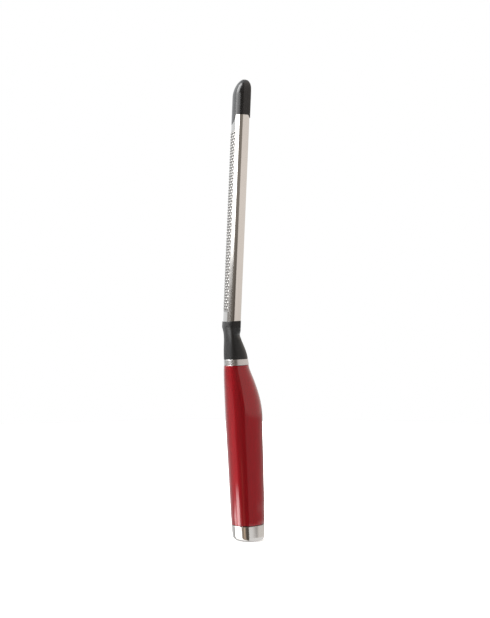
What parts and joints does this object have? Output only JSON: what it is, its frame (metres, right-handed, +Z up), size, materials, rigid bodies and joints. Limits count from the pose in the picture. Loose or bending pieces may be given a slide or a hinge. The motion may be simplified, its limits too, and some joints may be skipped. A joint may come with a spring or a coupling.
{
  "type": "rasp grater",
  "caption": "Hand-held rasp grater: perforated channel blade with raised teeth, rounded soft tip, moulded neck, bright ferrule, oval lacquered handle and metal butt cap.",
  "frame": {"origin": "centre of the butt cap's flat end, which the tool stands on", "axes": "+Z up the tool from the butt to the tip, -Y out of the grating face, +Y to the handle's belly, X across the blade's width"},
  "size_m": [0.027, 0.0299, 0.3261],
  "materials": {
    "blade_steel": "bright rolled sheet, etched",
    "tip_rubber": "semi-gloss moulded",
    "insert_plastic": "plain moulded",
    "neck_plastic": "satin moulded",
    "tang_steel": "mill finish",
    "pin_steel": "ground",
    "ferrule_steel": "satin polished",
    "handle_red": "high gloss, translucent red lacquer",
    "core_plastic": "plain moulded",
    "cap_steel": "mirror polished",
    "plug_plastic": "plain moulded",
    "screw_steel": "plain"
  },
  "bodies": {
    "root": {"grater_blade": "blade_steel", "soft_tip": "tip_rubber", "tip_insert": "insert_plastic", "neck": "neck_plastic", "tang_bar": "tang_steel", "tang_pin": "pin_steel", "ferrule_ring": "ferrule_steel", "handle_shell": "handle_red", "handle_core": "core_plastic", "butt_cap": "cap_steel", "end_plug": "plug_plastic", "cap_screw": "screw_steel"}
  },
  "joints": []
}
